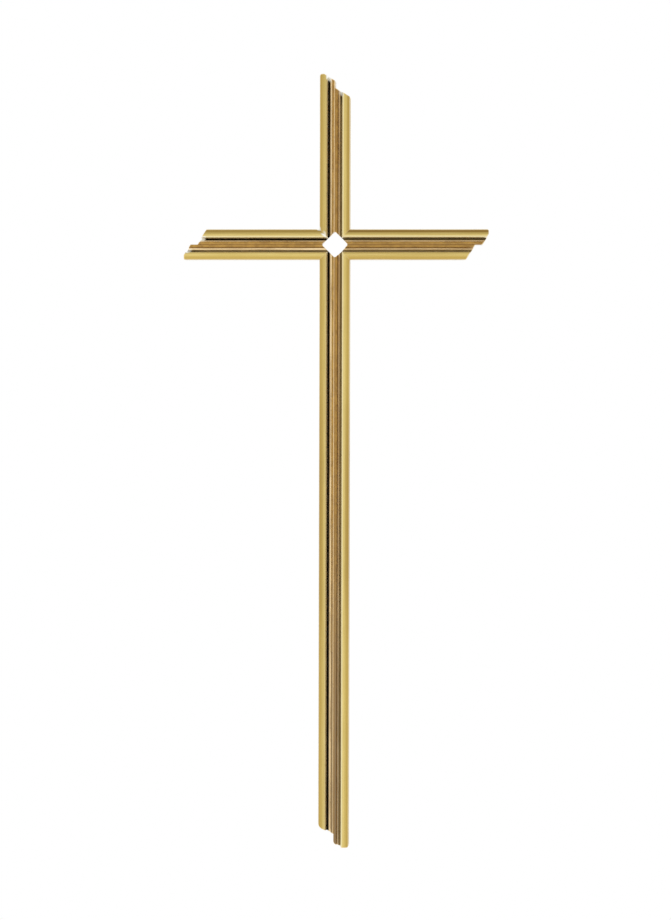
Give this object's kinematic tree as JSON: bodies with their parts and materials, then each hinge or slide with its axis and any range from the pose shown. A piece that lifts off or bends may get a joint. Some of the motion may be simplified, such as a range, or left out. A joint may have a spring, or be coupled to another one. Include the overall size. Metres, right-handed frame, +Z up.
{
  "type": "wall cross",
  "caption": "Slim Latin wall cross of side-by-side brass rails with stepped slanted ends, mitred around a diamond window, on a backing plate with threaded wall studs.",
  "frame": {"origin": "middle of the crossing, on the face of the wall", "axes": "+Z up the cross, +X to the right as seen from the front, +Y into the wall along the studs; the front faces -Y"},
  "size_m": [0.1578, 0.048, 0.4],
  "materials": {
    "rail_brass": "satin polished rib, brown ledge and dark groove",
    "plate_brass": "brown patina",
    "screw_brass": "turned",
    "boss_brass": "turned",
    "stud_steel": "rolled thread"
  },
  "bodies": {
    "root": {"upper_arm_left_rail": "rail_brass", "upper_arm_right_rail": "rail_brass", "right_arm_upper_rail": "rail_brass", "right_arm_lower_rail": "rail_brass", "lower_arm_right_rail": "rail_brass", "lower_arm_left_rail": "rail_brass", "left_arm_lower_rail": "rail_brass", "left_arm_upper_rail": "rail_brass", "backing_plate": "plate_brass", "upper_arm_screws": "screw_brass", "right_arm_screws": "screw_brass", "lower_arm_screws": "screw_brass", "left_arm_screws": "screw_brass", "upper_boss": "boss_brass", "right_boss": "boss_brass", "lower_boss": "boss_brass", "left_boss": "boss_brass", "foot_boss": "boss_brass", "upper_stud": "stud_steel", "right_stud": "stud_steel", "lower_stud": "stud_steel", "left_stud": "stud_steel", "foot_stud": "stud_steel"}
  },
  "joints": []
}
